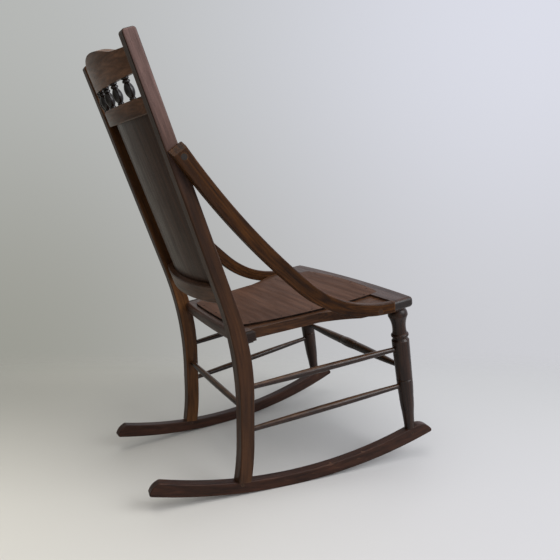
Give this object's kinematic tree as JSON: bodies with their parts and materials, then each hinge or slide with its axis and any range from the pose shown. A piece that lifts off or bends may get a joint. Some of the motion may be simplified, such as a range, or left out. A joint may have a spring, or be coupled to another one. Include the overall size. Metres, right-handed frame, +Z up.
{
  "type": "pressed back rocking chair",
  "caption": "Armless wooden rocking chair with a tall leaning back, bentwood side braces, a plywood seat on turned legs and stretchers, and curved rockers.",
  "frame": {"origin": "on the floor, on the chair's middle plane, where the rockers touch the floor when the empty chair is at rest", "axes": "+Z up, -Y the way the sitter faces, +X the sitter's left"},
  "size_m": [0.511, 0.7322, 0.9409],
  "materials": {
    "post_wood": "worn dark mahogany stain, satin",
    "leg_wood": "dark stain, satin",
    "rocker_wood": "dark stain, worn satin",
    "peg_wood": "dark stain, satin",
    "stretcher_wood": "dark stain, satin",
    "seat_rail_wood": "worn dark mahogany stain, satin",
    "block_wood": "dark stain, matte",
    "seat_panel_wood": "reddish brown stain, satin",
    "brace_wood": "warm brown stain, satin",
    "back_rail_wood": "dark mahogany stain, glossy",
    "back_panel_wood": "dark brown stain, glossy",
    "spindle_wood": "near black stain, satin",
    "tack_steel": "dark, dull",
    "screw_steel": "dark, dull"
  },
  "bodies": {
    "root": {"rear_post_right": "post_wood", "rear_post_left": "post_wood", "front_leg_right": "leg_wood", "front_leg_left": "leg_wood", "rocker_right": "rocker_wood", "rocker_left": "rocker_wood", "rocker_pegs": "peg_wood", "side_stretcher_upper_right": "stretcher_wood", "side_stretcher_upper_left": "stretcher_wood", "side_stretcher_lower_right": "stretcher_wood", "side_stretcher_lower_left": "stretcher_wood", "front_stretcher": "stretcher_wood", "rear_stretcher": "stretcher_wood", "seat_front_rail": "seat_rail_wood", "seat_rear_rail": "seat_rail_wood", "seat_side_rail_right": "seat_rail_wood", "seat_side_rail_left": "seat_rail_wood", "seat_corner_block_right": "block_wood", "seat_corner_block_left": "block_wood", "seat_dowels": "peg_wood", "seat_panel": "seat_panel_wood", "seat_tacks": "tack_steel", "back_panel_tacks": "tack_steel", "corner_block_screws": "screw_steel", "brace_upper_screws": "screw_steel", "brace_lower_screws": "screw_steel", "brace_right": "brace_wood", "brace_left": "brace_wood", "crest_rail": "back_rail_wood", "mid_rail": "back_rail_wood", "bottom_rail": "back_rail_wood", "back_panel": "back_panel_wood", "spindle_1": "spindle_wood", "spindle_2": "spindle_wood", "spindle_3": "spindle_wood", "spindle_4": "spindle_wood", "spindle_5": "spindle_wood"}
  },
  "joints": []
}
